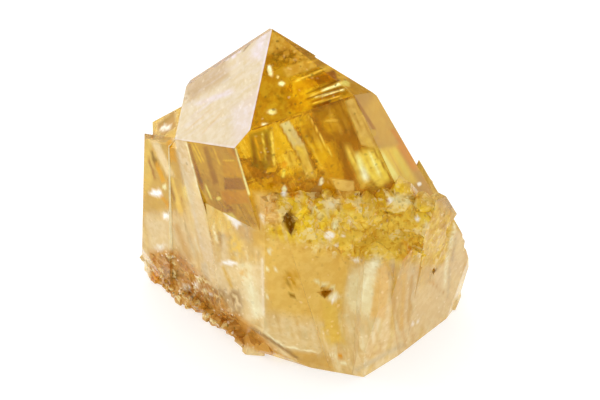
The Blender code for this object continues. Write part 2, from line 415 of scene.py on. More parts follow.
# The main crystal's front and right sides stay golden by losing this share of their blue.
LESS_BLUE = 0.3

# Heights between which the crystal turns milky, and between which its milk grows thick, and how
# wavy they are. Streaks run up the crystal, and the broken right side is patchy.
MILKY = (33, 12)
THICK_MILK = (20, 3)
BORDER_WAVE = 5
BORDER_SIZE = 14.0
STREAK_SIZE = (1.4, 1.4, 16.0)
CLOUD_SIZE = 5.0
PATCH_SIZE = 1.6

# Grains in the front view: the direction, the length and width in pixels, and the seed.
TIP_GRAIN = ((0.83, -0.56), (22.0, 2.2), 21)
PRISM_GRAIN = ((0.46, 0.89), (30.0, 2.4), 31)
GROUND_GRAIN = ((0.22, 0.97), (28.0, 2.6), 41)
RAGGED_GRAIN = ((1, 0), (3.2, 2.6), 91)

# Places that are specked, broken or rusty, as the camera sees them, in pixels.
TIP_SPECKLED = ((262, 78), (282, 70), (297, 98), (290, 118), (257, 125))
PRISM_SPECKLED = ((250, 134), (306, 120), (330, 172), (330, 200), (256, 190))
CLUSTER = ((255, 176), (400, 176), (452, 215), (452, 262), (330, 262), (262, 235))
RUSTY = ((150, 252), (180, 252), (215, 288), (240, 318), (238, 342), (150, 286))

# Roughness of marks on clear faces, on the pale tip face and elsewhere.
CLEAR_ROUGH = 0.1
PALE_ROUGH = 0.22
MARK_ROUGH = 0.16
# Marks as the camera sees them: the mask of class Paint that draws one, what that mask is given
# in pixels, the mark's colour and its clearness. Some are painted shade, highlights and glints,
# noted where they stand.
TIP_LEFT_MARKS = (
    # Painted shade: a grey patch and a haze at the upper left of the face.
    ("area", ((184, 86), (226, 57), (228, 78), (190, 102)), 7, STONE, 0.3),
    ("haze", (190, 96), 8, 5, -35, STONE, 0.4),
    # Painted reflection together with frost: the cream is the pale sheen that the face reflects, and
    # its frost.
    ("area", ((176, 110), (200, 100), (232, 140), (174, 136)), 9, CREAM, 0.2),
    # Painted sheen: a white streak.
    ("strip", (196, 105), (232, 91), 1.5, 3, 2.5, 6, WHITE, 0.15),
    ("strip", (190, 118), (216, 98), 0.8, 1.2, 1.5, 6, SHELL, 0.2),
    ("strip", (186, 131), (212, 108), 0.5, 0.6, 1.2, 6, MILK, 0.2),
    ("strip", (200, 136), (222, 112), 0.5, 0.6, 1.2, 6, MILK, 0.2),
    # Painted sheen: a white patch by the apex on the upper edge.
    ("area", ((258, 36), (270, 30), (262, 60), (250, 58)), 5, WHITE, 0.1),
    ("area", ((232, 108), (258, 90), (250, 131), (234, 146)), 6, SHELL, 0.15),
    # Painted highlight: a white line along the edge to the front face.
    ("strip", (271.5, 30), (250, 131), 1.6, 1.6, 0.9, WHITE, 0.1),
    ("strip", (175, 139), (235, 147.4), 1, 1, 0.7, SHELL, 0.15),
    ("strip", (234, 147), (250, 132), 1, 1, 0.7, SHELL, 0.15),
    # Painted highlights: pale spots along the upper edge.
    ("spot", (227, 59), 2.6, 1.6, -35, SHELL, 0.1),
    ("spot", (234, 56), 3.2, 2, -35, WHITE, 0.1),
    ("spot", (239, 52), 2.4, 1.6, -35, WHITE, 0.1),
    # Painted shade: a dark line along the upper edge.
    ("strip", (243, 51.5), (251, 42), 0.6, 0.6, 0.6, SHADE, 0.3),
)
TIP_FRONT_MARKS = (
    ("area", ((271, 28), (330, 60), (300, 66), (266, 52)), 4, SAND, 0.6),
    ("haze", (288, 58), 20, 9, -8, MOSS, 0.7),
    ("haze", (282, 56), 8, 4, -8, MOSS, 0.6),
    ("strip", (284, 73), (327, 59), 5, 5, 1.5, SAND, 0.55),
    ("strip", (308, 63), (326, 56.5), 0.7, 0.7, 0.7, STRAW, 0.4),
    ("area", TIP_SPECKLED, 5, OLIVE, 0.6),
    ("area", ((281, 86), (303, 78), (304, 98), (283, 100)), 4, BRASS, 0.7),
    ("strip", (295, 88), (336, 74.6), 4.5, 5, 1.2, AMBER, 0.65),
    ("strip", (316, 82), (329, 77.5), 3.5, 4, 1.5, BROWN, 0.65),
    ("strip", (295, 81.2), (328.5, 67.2), 0.8, 0.8, 0.6, STRAW, 0.2),
    ("area", ((288, 97), (307, 90), (311, 108), (290, 115)), 4, BRASS, 0.6),
    ("haze", (302, 103), 10, 7, -20, AMBER, 0.6),
    ("strip", (306, 94), (340, 79.7), 0.9, 0.9, 0.6, DARK, 0.5),
    ("strip", (309, 96.4), (343, 82.3), 0.7, 1.5, 0.7, SAND, 0.3),
    ("strip", (322, 90.8), (344, 82.2), 0.8, 1.5, 0.8, CREAM, 0.1),
    ("strip", (306, 99.4), (342, 87.6), 0.9, 0.9, 0.6, DARK, 0.5),
    ("strip", (315, 97.8), (344, 89.3), 0.5, 1, 0.6, CREAM, 0.1),
    ("strip", (311, 102), (340, 93), 1.4, 1.4, 0.6, BROWN, 0.5),
    ("strip", (313, 103.6), (340, 95.8), 0.6, 0.6, 0.6, STRAW, 0.2),
    ("strip", (312, 107.6), (331, 101.6), 2.2, 2, 0.8, DARK, 0.45),
    ("strip", (331, 103.2), (352, 94.6), 2.4, 1.8, 1.2, OLIVE, 0.5),
    ("strip", (308, 113.4), (356, 95.8), 0.7, 0.7, 0.6, STRAW, 0.3),
    ("area", ((342, 80), (352, 78), (373, 93), (352, 97)), 2, SAND, 0.5),
    ("spot", (346, 83.5), 4, 3, LEMON, 0.3),
    ("haze", (277, 98), 12, 8, -20, MOSS, 0.55),
    ("haze", (290, 106), 7, 5, -20, BROWN, 0.55),
    ("spot", (270, 70.6), 2.4, 5.6, -12, SHELL, 0.2),
    ("spot", (281.7, 83.6), 3.2, 2.6, 30, CREAM, 0.2),
    ("spot", (278, 76.8), 1.5, 1.5, CREAM, 0.2),
    ("spot", (271.5, 112), 4.6, 2.8, CREAM, 0.3),
    # Painted glint: a white spot.
    ("spot", (265.3, 125.3), 3.2, 2.7, WHITE, 0.15),
    ("spot", (289.5, 118.5), 2, 1.5, CREAM, 0.3),
)
PRISM_FRONT_MARKS = (
    ("area", ((274, 126), (294, 128), (302, 172), (278, 180)), 3, BRASS, 0.75),
    ("area", ((249, 134), (272, 127), (275, 166), (262, 171), (252, 165)), 2, MOSS, 0.5),
    ("strip", (252, 138), (256, 164), 1.6, 1.6, 1.2, DARK, 0.4),
    ("strip", (259, 135), (263, 158), 1.4, 1.8, 1.2, BROWN, 0.4),
    ("strip", (266, 133), (269.5, 164), 1.4, 1.8, 1.2, DARK, 0.4),
    ("strip", (255, 136), (260.5, 160), 0.7, 0.7, 0.8, ORANGE, 0.5),
    ("strip", (262, 133), (266, 160), 0.6, 0.6, 0.8, STRAW, 0.5),
    ("strip", (271.5, 131), (274.5, 166), 1.3, 1.3, 0.8, STRAW, 0.3),
    ("spot", (291, 160), 6, 9, -20, STRAW, 0.6),
    ("strip", (285, 163), (283, 178), 1, 1.6, 1, YELLOW, 0.4),
    ("area", ((280, 124), (289, 120.5), (304, 144), (314, 175), (308, 176)), 0.8, STONE, 0.25),
    ("area", ((294, 146), (304, 146), (316, 177), (306, 178)), 3, STRAW, 0.5),
    ("strip", (279.5, 125), (306, 170), 0.8, 0.8, 0.6, BROWN, 0.4),
    ("area", ((296, 119), (307.5, 115), (330, 153), (322, 168), (306, 146)), 1, BRASS, 0.55),
    ("area", ((313, 113), (345, 100), (352, 128), (328, 136)), 3, BRASS, 0.7),
    ("area", ((325, 134), (354, 126), (357, 158), (338, 163)), 4, BROWN, 0.6),
    ("spot", (331, 120.5), 7, 1.4, -3, 0.8, STRAW, 0.5),
    ("strip", (308, 114.6), (332, 156), 0.8, 0.8, 0.6, STRAW, 0.2),
    ("area", ((345, 101), (361, 94), (386, 152), (361, 145)), 1.2, TAN, 0.2),
    ("strip", (347, 146), (363, 182), 3, 4, 3, 6, STRAW, 0.3),
    ("area", ((351, 158), (362, 149), (378, 148), (393, 178), (381, 188), (366, 184)), 5, SUN, 0.2),
    ("haze", (372, 184), 12, 5, -10, STRAW, 0.3),
    ("strip", (357, 154), (366, 178), 1.4, 4, 3, 6, LEMON, 0.1),
    # Painted highlight: the white middle of the bright patch.
    ("strip", (362, 168), (367, 180), 1, 2.6, 2.6, 4, WHITE, 0.05),
    ("strip", (363, 150), (373, 174), 0.7, 1, 1, 5, STRAW, 0.3),
    ("strip", (369, 152), (380, 176), 1, 1.6, 1.4, 5, LEMON, 0.1),
    ("strip", (372, 147), (392, 180), 0.8, 0.8, 0.7, BROWN, 0.4),
    ("spot", (284, 165), 3, 4, ORANGE, 0.5),
)
PRISM_RIGHT_MARKS = (
    ("area", ((352, 97), (370, 88), (396, 144), (372, 148)), 2, TAN, 0.45),
    ("strip", (392, 129), (413, 160), 2, 2, 1.5, ORANGE, 0.5),
    ("area", ((374, 150), (397, 146), (418, 182), (398, 196)), 4, SUN, 0.3),
    ("strip", (381, 152), (396, 178), 2, 3.2, 1.6, 5, LEMON, 0.1),
    # Painted highlight: a white strip in the bright patch.
    ("strip", (397, 178), (407, 193), 2, 2.6, 2, 4, WHITE, 0.05),
    ("strip", (388, 150), (402, 176), 0.8, 0.8, 0.9, 5, STRAW, 0.4),
    ("strip", (394, 150), (408, 176), 1.8, 2.2, 1.6, 5, YELLOW, 0.3),
    ("strip", (398, 144), (416, 170), 2.6, 3.2, 2.4, 4, ORANGE, 0.4),
)
GROOVE_MARKS = (
    # Painted shade: a dark line along the groove between the front and right sides.
    ("strip", (353.6, 96), (375, 130.5), 1.3, 1.7, 0.8, BROWN, 0.4),
    ("spot", (373.5, 133), 2.6, 3.2, OLIVE, 0.4),
)
PRISM_LEFT_MARKS = (
    ("area", ((188, 142), (224, 146), (226, 190), (200, 196)), 3, TAN, 0.5),
    ("strip", (205, 146), (216, 184), 2.4, 3, 1.6, UMBER, 0.4),
    ("strip", (228, 148), (238, 160), 2, 2.4, 1.6, BRASS, 0.4),
    ("strip", (188.5, 143), (203, 190), 1.4, 1.6, 0.8, BROWN, 0.5),
    ("strip", (192, 144), (201.5, 163), 0.7, 0.7, 0.6, STRAW, 0.3),
    ("strip", (195, 144), (204, 162), 0.7, 0.7, 0.6, STRAW, 0.3),
    ("strip", (213, 147), (220, 165), 0.8, 0.8, 0.8, STRAW, 0.4),
    ("area", ((222, 161), (241, 161), (243, 177), (224, 177)), 1.2, BRASS, 0.5),
    ("strip", (223, 160.5), (234, 160.5), 0.6, 0.6, 0.5, STRAW, 0.3),
    ("area", ((224, 177.5), (242, 177.5), (246, 190), (225, 190)), 1.4, BROWN, 0.5),
    ("area", ((221, 191), (246, 190), (249, 203), (224, 205)), 1.5, OCHRE, 0.5),
    ("haze", (228, 208), 7, 6, BROWN, 0.5),
    # Painted glints: white streaks, spots and a patch.
    ("strip", (205.4, 184.6), (211.4, 199), 0.9, 0.9, 0.6, WHITE, 0.1),
    ("spot", (218.6, 198.4), 2.2, 1.8, WHITE, 0.1),
    ("area", ((222, 214), (232, 213), (240, 222), (234, 228)), 1.5, WHITE, 0.2),
    ("spot", (224, 214), 2.2, 1.6, WHITE, 0.1),
    # Painted shade.
    ("haze", (245, 226), 5, 10, -10, SHADE, 0.5),
)
PALE_BAND_MARKS = (
    ("area", ((173, 137), (186, 141), (203, 205), (216, 262), (204, 262), (190, 205)), 1.6, DUSK, 0.3),
    ("strip", (177, 146), (190, 196), 1.2, 1.6, 1.6, STONE, 0.2),
    ("strip", (186, 142), (201, 198), 0.6, 0.6, 0.6, CREAM, 0.2),
    ("strip", (190, 196), (203, 250), 1.4, 1.6, 1.6, STONE, 0.2),
    ("strip", (235, 147.5), (249.4, 195), 0.8, 1.1, 0.7, CREAM, 0.2),
)
BLOCK_MARKS = (
    ("area", ((143, 139), (178, 142), (186, 210), (142, 212)), 3, SAND, 0.5),
    ("area", ((143, 139), (151, 139), (154, 176), (143, 200)), 1.5, STRAW, 0.5),
    ("area", ((150, 140), (159, 142.5), (175, 176), (167, 176)), 1.2, MILK, 0.3),
    ("area", ((166.5, 141), (172.5, 138), (176.5, 162), (171, 161)), 0.9, OCHRE, 0.4),
    ("strip", (151, 151), (157, 166), 1.6, 2.6, 0.8, MOSS, 0.3),
    ("strip", (156, 163), (164, 182), 1.8, 2.4, 1, OCHRE, 0.3),
    ("strip", (148.3, 158), (155.5, 180), 1.3, 1.3, 0.8, UMBER, 0.35),
    ("strip", (172, 178), (181, 212), 1.2, 2, 1.2, STRAW, 0.4),
    ("strip", (168, 180), (176, 204), 1, 1.2, 1, UMBER, 0.4),
    ("strip", (160, 194), (169, 206), 1.4, 1.8, 1, OCHRE, 0.4),
    ("area", ((146, 218), (176, 215), (186, 246), (150, 250)), 6, MILK, 0.4),
    ("spot", (160, 248), 5, 3, -20, SHELL, 0.2),
    ("strip", (176, 224), (190, 262), 2.4, 4, 3, TAN, 0.4),
    ("strip", (176, 201), (182, 214), 2, 2.4, 1.6, STRAW, 0.4),
    ("spot", (181.5, 198.5), 1.2, 2.4, -10, UMBER, 0.35),
    ("strip", (203, 262), (213, 300), 3, 2.6, 2, STONE, 0.3),
    ("strip", (200, 222), (207, 258), 0.9, 1.2, 1.2, WHEAT, 0.35),
    ("haze", (236, 246), 8, 15, -12, STRAW, 0.35),
    # Painted glint: a white patch.
    ("area", ((224, 213), (230, 212), (241, 223), (237, 229)), 1.5, WHITE, 0.2),
    ("strip", (213, 226), (217, 242), 0.8, 1.4, 1.2, CREAM, 0.25),
    ("spot", (164.6, 187), 2.2, 2.8, LEMON, 0.3),
    # Painted glints: white spots.
    ("spot", (156.3, 193), 6.2, 3.8, -5, WHITE, 0.05),
    ("spot", (166.6, 216.2), 3.4, 3.2, WHITE, 0.05),
    ("spot", (152, 135.5), 4.5, 3, -10, BROWN, 0.5),
    ("area", ((156, 124), (174, 111), (177, 127), (160, 138)), 1.5, UMBER, 0.4),
    ("strip", (160, 124), (173, 115), 1, 1, 0.8, MOSS, 0.4),
    # Painted glint: a white spot.
    ("spot", (165.8, 128), 5.4, 2.6, -12, WHITE, 0.05),
    ("strip", (175.4, 111.5), (174.6, 124), 0.9, 0.9, 0.6, UMBER, 0.3),
)
MIDDLE_MARKS = (
    ("area", ((253, 192), (276, 192), (280, 224), (260, 226)), 5, PEACH, 0.4),
    ("strip", (260, 214), (265, 223), 1.6, 1.2, 1.5, SHELL, 0.2),
    ("area", ((250, 229), (268, 226), (270, 246), (252, 248)), 5, SAND, 0.45),
    ("area", ((258, 240), (330, 244), (352, 262), (345, 310), (330, 324), (266, 312)), 8, WHEAT, 0.3),
    ("area", ((330, 216), (402, 212), (440, 222), (436, 262), (352, 250), (330, 240)), 8, HAY, 0.35),
    ("area", ((300, 200), (324, 198), (322, 230), (298, 232)), 5, GLOW, 0.3),
    ("haze", (318, 214), 7, 5, LEMON, 0.3),
    ("haze", (345, 214), 9, 4, 10, YELLOW, 0.3),
    ("area", ((325, 197), (341, 199), (341, 209), (324, 208)), 3, PALE, 0.35),
    ("area", ((281, 214), (290, 211), (297, 218), (293, 232), (291, 236.5)), 0.9, MOSS, 0.35),
    ("spot", (291, 229), 2.4, 4, 20, DARK, 0.35),
    ("spot", (285, 217), 2, 2.4, DARK, 0.4),
    ("strip", (296, 214), (301, 198), 0.7, 0.7, 0.8, UMBER, 0.4),
    ("strip", (301, 198), (322, 196.5), 0.7, 0.7, 0.8, UMBER, 0.4),
    ("strip", (300, 203), (314, 202.5), 1, 1, 1.5, ORANGE, 0.5),
    ("area", ((309, 192), (320, 181), (323, 193), (316, 200)), 1, UMBER, 0.45),
    ("area", ((322, 182), (327, 178), (342, 198), (336, 200)), 1, AMBER, 0.5),
    ("strip", (328, 179), (341.5, 199), 0.7, 0.7, 0.6, BROWN, 0.4),
    ("area", ((330, 178), (354, 181), (354.5, 192), (342, 199)), 1, WHEAT, 0.35),
    ("spot", (357.7, 194.8), 3.4, 1.8, 5, DARK, 0.4),
    ("haze", (377, 194), 12, 11, 5, OLIVE, 0.5),
    ("haze", (372, 188), 5, 6, 5, MOSS, 0.5),
    ("strip", (385.5, 184), (388, 203), 1.5, 1, 1.2, UMBER, 0.5),
    ("strip", (392, 192.5), (401, 193.8), 0.7, 0.7, 0.5, DARK, 0.4),
    ("area", ((389, 196), (412, 194), (417, 204), (392, 206)), 2, LEMON, 0.35),
    # Painted glint: a white spot.
    ("spot", (390, 200.5), 2.4, 2.6, WHITE, 0.1),
    ("haze", (423, 199), 4, 7, -20, TAN, 0.4),
    ("spot", (419.4, 184), 2.4, 2, SHELL, 0.2),
    # Painted glint: a white spot.
    ("spot", (416.7, 218.5), 3, 2.6, WHITE, 0.1),
    ("spot", (422.8, 232), 2.2, 1.8, UMBER, 0.4),
    ("spot", (426, 226), 3.6, 2.4, 10, PALE, 0.3),
    ("strip", (397, 221), (405.4, 241), 0.9, 1.2, 1.2, OLIVE, 0.45),
    ("strip", (381, 209), (391, 208.5), 0.8, 0.8, 0.8, LEMON, 0.3),
    ("strip", (383.5, 212), (393, 213.6), 0.8, 0.8, 0.6, DARK, 0.4),
    ("haze", (401, 215), 8, 3, 20, OLIVE, 0.45),
    ("spot", (284.5, 189), 3.2, 3.4, LEMON, 0.2),
    # Painted glint: a white spot.
    ("spot", (283.6, 193.6), 2.6, 2, WHITE, 0.05),
    ("spot", (321.2, 181), 2, 3.6, CREAM, 0.2),
    ("area", ((289, 192), (299, 192), (299, 198), (290, 198)), 1.2, ORANGE, 0.5),
    ("strip", (271, 192), (279, 193.8), 0.6, 0.6, 0.5, DARK, 0.4),
    ("spot", (274, 200.5), 2.6, 2, AMBER, 0.4),
    ("spot", (335.4, 224), 3.8, 5.6, LEMON, 0.2),
    # Painted glints: white spots.
    ("spot", (329.6, 235), 4.6, 4.4, WHITE, 0.05),
    ("spot", (344.2, 235), 1.5, 2.8, 15, WHITE, 0.05),
    ("spot", (336.6, 245.4), 1.6, 2, WHITE, 0.1),
    ("spot", (349, 222), 2.6, 3, WHITE, 0.2),
    ("spot", (313, 208.4), 3.6, 2, -30, LEMON, 0.3),
    ("spot", (318.4, 220), 2, 2.6, LEMON, 0.3),
    ("spot", (310, 230), 3.4, 2.2, PALE, 0.3),
    ("haze", (325, 246), 8, 3, LEMON, 0.3),
    ("haze", (321, 252), 5, 3, STRAW, 0.3),
    ("haze", (356, 205), 9, 6, ORANGE, 0.5),
    # Painted glint: a white spot.
    ("spot", (355.8, 259.6), 4.2, 2.6, 10, WHITE, 0.1),
    ("area", ((350, 270), (366, 262), (377, 253), (382, 257), (378, 290), (372, 316), (352, 312),
     (345, 298)), 3.5, PALE, 0.3),
    ("area", ((377, 268), (386, 264), (390, 290), (385, 318), (370, 318),
     (374, 290)), 2, PEACH, 0.35),
    ("strip", (377, 256), (369, 274), 2, 1.2, 1.6, CREAM, 0.2),
    ("strip", (369, 274), (358, 306), 0.8, 2, 2.2, CREAM, 0.2),
    ("strip", (390.5, 276), (387, 318), 0.5, 0.7, 1.2, MILK, 0.35),
    ("strip", (384, 258), (393, 277), 1.6, 1.2, 1.2, SAND, 0.4),
    ("haze", (292, 280), 8, 9, BRASS, 0.5),
    ("strip", (287.6, 272), (288.4, 285), 0.8, 0.8, 0.8, MOSS, 0.4),
    ("spot", (291.5, 295.5), 2.6, 2.4, MOSS, 0.4),
    ("strip", (289, 291), (297, 290.6), 0.6, 0.6, 0.6, STRAW, 0.3),
    ("strip", (258, 268.6), (277, 269.4), 0.8, 0.6, 0.7, CREAM, 0.2),
    # Painted highlight: a pale line along a bright edge.
    ("strip", (262, 258), (262.4, 316), 1.1, 2, 1.4, SHELL, 0.2),
    ("spot", (267.5, 296), 1.8, 1.8, CREAM, 0.25),
    ("area", ((320, 287), (334, 289), (326, 297.5), (322, 296)), 0.9, BROWN, 0.35),
    ("strip", (315, 281), (335, 287.6), 0.9, 0.9, 0.8, LEMON, 0.3),
    ("area", ((327, 298), (335, 291), (341, 297), (333, 303)), 1.2, PALE, 0.25),
    # Painted glint: a white line.
    ("strip", (331, 303), (336, 296), 1, 1, 0.8, WHITE, 0.15),
    ("haze", (330, 325), 10, 18, 10, STRAW, 0.4),
    ("area", ((322, 300), (334, 306), (344, 342), (330, 344)), 4, STRAW, 0.4),
    ("spot", (269.4, 251), 2, 2.6, CREAM, 0.3),
    ("haze", (407, 250), 7, 12, 10, ORANGE, 0.5),
    ("strip", (402.6, 241), (400.6, 249.5), 1.2, 1, 0.7, UMBER, 0.35),
    ("spot", (434.2, 272.6), 1.2, 2.8, 25, DARK, 0.15),
    ("strip", (396, 276), (391, 330), 2, 1.6, 2, SAND, 0.4),
    ("strip", (405, 274), (401, 330), 1.4, 2.2, 1.6, WHEAT, 0.35),
    ("strip", (412, 276), (408, 322), 1.4, 1, 1.6, SAND, 0.4),
    ("strip", (416, 283), (412, 302), 1.2, 1.6, 1.6, MILK, 0.35),
    ("area", ((418, 288), (432, 282), (446, 294), (444, 318), (424, 322), (413, 318)), 5, MILK, 0.35),
    # Painted shadow: a darker diagonal line.
    ("strip", (429, 280), (446, 294), 1.6, 1, 1.2, TAN, 0.4),
    ("area", ((432, 276), (444, 262), (447, 290), (440, 290)), 1.5, MILK, 0.35),
    # Painted glints: white spots.
    ("spot", (412.3, 324), 2.2, 1.1, -10, WHITE, 0.1),
    ("spot", (417.4, 322.4), 1.6, 0.9, -10, WHITE, 0.2),
    ("haze", (397, 337), 4, 3, TAN, 0.35),
    ("haze", (376, 350), 16, 5, -30, TAN, 0.35),
    ("strip", (353, 372), (404, 344), 2.4, 1.6, 2.4, STONE, 0.35),
    ("spot", (340.4, 356.6), 2.3, 2.3, ORANGE, 0.3),
    ("spot", (343.6, 363.4), 3, 2.2, CREAM, 0.2),
    ("area", ((288, 349), (330, 356), (334, 372), (296, 366)), 3, TAN, 0.35),
    ("area", ((452, 228), (466, 236), (463, 268), (458, 296), (447, 318), (444, 290),
     (447, 258)), 1.2, MILK, 0.35),
    # Painted highlights: pale lines along the left edge of the pale crystal on the right.
    ("strip", (455, 225), (446.5, 262), 1.4, 1.8, 0.9, CREAM, 0.2),
    ("strip", (446.5, 262), (444.5, 288), 1.8, 1, 0.9, CREAM, 0.2),
    ("strip", (450, 266), (447.5, 300), 0.8, 1, 0.9, STONE, 0.35),
    ("strip", (456, 236), (452, 262), 1, 1.4, 1.6, STONE, 0.35),
)
RIM_MARKS = (
    ("area", ((150, 250), (176, 250), (215, 288), (250, 322), (288, 362), (238, 342),
     (150, 286)), 4, RUST, 0.35),
    ("area", ((208, 272), (262, 262), (263, 318), (250, 322), (226, 300)), 5, MILK, 0.35),
    ("strip", (214, 264), (236, 312), 5, 6, 5, DUSK, 0.3),
    ("strip", (221, 262), (232, 288), 1.2, 2, 1.6, SAND, 0.35),
    ("strip", (244, 264), (258, 318), 6, 5, 4, CREAM, 0.3),
    ("haze", (244, 274), 7, 6, PEACH, 0.35),
    ("spot", (155.5, 277), 4, 6, 15, ORANGE, 0.3),
    ("haze", (173, 260), 11, 6, 15, UMBER, 0.35),
    ("haze", (173, 275.5), 10, 6.5, 10, MOSS, 0.35),
    ("haze", (201, 296), 18, 12, 40, UMBER, 0.3),
    ("strip", (153, 284), (202, 313), 2, 2.6, 1.5, RUST, 0.3),
    ("strip", (202, 313), (240, 341), 2.4, 2.6, 1.5, RUST, 0.3),
    ("strip", (240, 341), (287, 360), 2.2, 2.6, 1.5, RUST, 0.3),
    # Painted glints: the white spots among these.
    ("spot", (187, 287), 4.2, 2.8, 10, WHITE, 0.05),
    ("spot", (196, 285.4), 2.4, 2.4, WHITE, 0.05),
    ("spot", (200.4, 280), 2.4, 2.4, CREAM, 0.1),
    ("spot", (210.8, 294.6), 2.2, 1.9, WHITE, 0.05),
    ("spot", (198.2, 301.6), 2.2, 2, CREAM, 0.1),
    ("spot", (205, 291), 2.2, 1.6, 30, CREAM, 0.1),
    # Painted shade: two hazes.
    ("haze", (235.5, 301), 7, 15, -12, SHADE, 0.4),
    ("haze", (219.5, 297), 9, 10, SHADE, 0.45),
    ("spot", (252, 332.5), 3.4, 2.4, 30, UMBER, 0.3),
    # Painted shade: a dark diagonal line, with pale lines of painted highlight above it.
    ("strip", (251, 327), (299, 359), 1.4, 1.6, 1, SHADE, 0.4),
    ("strip", (256, 326), (283, 346), 0.7, 0.7, 0.6, CREAM, 0.2),
    ("strip", (283, 346), (337, 356), 0.7, 0.7, 0.6, CREAM, 0.2),
    # Painted glint: a white spot.
    ("spot", (228.6, 262.8), 7.4, 2.6, -5, WHITE, 0.1),
    ("spot", (279, 357.6), 6.4, 2.4, 20, STRAW, 0.3),
)


def paint_marks(p, where, marks, rough=MARK_ROUGH):
    """Draws marks in their order, inside the mask of where they may lie."""
    rows = np.flatnonzero(where > 0)
    part = p.rows(rows)
    for kind, *shape, colour, clear in marks:
        part.lay(where[rows] * getattr(part, kind)(*shape), colour, clear=clear, rough=rough)
    p.put_back(rows, part)


def paint_body(p):
    """Golden and clear at the top, milky towards the foot, everywhere on the crystal."""
    height = p.at[:, 2] + BORDER_WAVE * (p.cloud(BORDER_SIZE, seed=1) - 0.5)
    streak = p.cloud(STREAK_SIZE, seed=2)
    cloud = p.cloud(CLOUD_SIZE, seed=3)
    p.lay(np.ones(len(p.at)), CLEAR, clear=0.97, rough=0.03, frost=0.3, dark=0.15)
    p.lay(0.5 * smooth(0.45, 0.7, streak), GOLD)
    p.lay(0.5 * smooth(0.42, 0.2, streak), HONEY)
    milky = smooth(*MILKY, height)
    p.lay(milky, PALE_GOLD, clear=0.72, rough=0.1, frost=0.35, light=0.2)
    p.lay(milky * smooth(0.3, 0.7, cloud), WHEAT, clear=0.4, rough=0.2)
    p.lay(smooth(*THICK_MILK, height) * smooth(0.2, 0.5, cloud), MILK, clear=0.3, rough=0.25)
    p.lay(0.8 * milky * smooth(0.5, 0.62, streak), MILK, clear=0.35)
    p.lay(0.5 * milky * smooth(0.42, 0.3, streak), STRAW, clear=0.5)
    rear = smooth(0.0, 0.3, p.normal[:, 1])
    p.lay(rear, crackle=0.05, frost=0.2, dark=0.1, light=0.05)
    p.lay(p.on("base"), HONEY, clear=0.9, rough=0.5, crackle=0.5)


def paint_tip(p):
    """The left face of the tip, pale with frost and with painted sheen, then its golden front and the
    narrow face beside it.
    """
    left = p.on("tip_left")
    fibre = p.grain(*TIP_GRAIN)
    # Painted reflection together with frost: the cream is the pale sheen that this face reflects, and
    # its frost.
    p.lay(left, CREAM, clear=0.22, rough=PALE_ROUGH, frost=0.35, light=0.15, dark=0.0)
    paint_marks(p, left, TIP_LEFT_MARKS, PALE_ROUGH)
    p.lay(0.3 * left * smooth(0.5, 0.75, fibre), WHITE)
    p.lay(0.12 * left * smooth(0.5, 0.25, fibre), SAND)
    p.weigh("tip_left")
    front = p.on("tip_front", "tip_side")
    p.lay(front, OLIVE, clear=0.72, rough=0.05, frost=1.0, dark=0.7, light=0.15, crackle=0.07)
    p.lay(p.on("tip_side"), SAND, clear=0.2, rough=0.05, frost=0.5)
    paint_marks(p, front, TIP_FRONT_MARKS, CLEAR_ROUGH)
    p.weigh("tip_front")
    p.weigh("tip_side")
    # Painted glints: more light specks where the front of the tip is specked.
    p.lay(front * p.area(TIP_SPECKLED, soft=4), light=0.25)


def paint_prism(p):
    """The main crystal's front, right and left sides, with painted highlights, glints and shade among
    their marks.
    """
    front = p.on("prism_front")
    streak = p.grain(*PRISM_GRAIN)
    p.lay(front, AMBER, clear=0.85, rough=0.04, frost=0.5, dark=0.4)
    paint_marks(p, front, PRISM_FRONT_MARKS, CLEAR_ROUGH)
    p.lay(0.7 * front * smooth(0.5, 0.8, streak), BROWN)
    p.lay(0.5 * front * smooth(0.45, 0.2, streak), STRAW)
    p.lay(front * p.area(PRISM_SPECKLED, soft=8), dark=0.6, light=0.1, crackle=0.12)
    right = p.on("prism_right")
    p.lay(right, TAN, clear=0.5, rough=0.2, frost=0.2, dark=0.0)
    paint_marks(p, right, PRISM_RIGHT_MARKS)
    p.weigh("prism_right")
    paint_marks(p, front + right, GROOVE_MARKS)
    left = p.on("prism_left")
    p.lay(left, SAND, clear=0.55, rough=0.1, frost=0.6, dark=0.4)
    p.lay(0.7 * left * smooth(0.5, 0.75, streak), UMBER)
    paint_marks(p, left, PRISM_LEFT_MARKS)
    p.weigh("prism_left")
    paint_marks(p, left + front, PALE_BAND_MARKS)
    p.colour[:, 2] *= 1 - LESS_BLUE * (front + right)


def paint_ground(p):
    """The left block, the broken middle and the rusty rim, on every face that looks forward, with
    painted shade, highlights and glints among their marks.
    """
    ahead = np.array(CAMERA_TO) - np.array(CAMERA_AT)
    facing = smooth(0.0, 0.2, -(p.normal @ (ahead / np.linalg.norm(ahead))))
    rest = facing * (1 - p.on(*FINE))
    cluster = p.area(CLUSTER, soft=8)
    p.lay(
        rest * cluster, GLOW, clear=0.36, rough=0.08, crackle=0.25, light=0.25, dark=0.4, frost=0.6
    )
    broken = p.on("break_right") * cluster
    patch = p.cloud(PATCH_SIZE, seed=51)
    p.lay(broken, HAY, clear=0.3, crackle=0.15, frost=0.8)
    p.lay(broken * smooth(0.5, 0.62, patch), GLOW)
    p.lay(broken * smooth(0.42, 0.3, patch), OLIVE)
    streak = p.grain(*GROUND_GRAIN)
    p.lay(0.6 * rest * smooth(0.5, 0.75, streak), TAN)
    p.lay(0.6 * rest * smooth(0.45, 0.2, streak), CREAM)
    paint_marks(p, rest, BLOCK_MARKS + PALE_BAND_MARKS)
    p.lay(p.on("notch"), CREAM, clear=0.1, rough=0.3)
    paint_marks(p, facing, MIDDLE_MARKS + RIM_MARKS)
    p.lay(facing * p.area(RUSTY, soft=6), crackle=0.35, light=0.6, dark=0.8, frost=1.0)
    p.weigh("break_right")


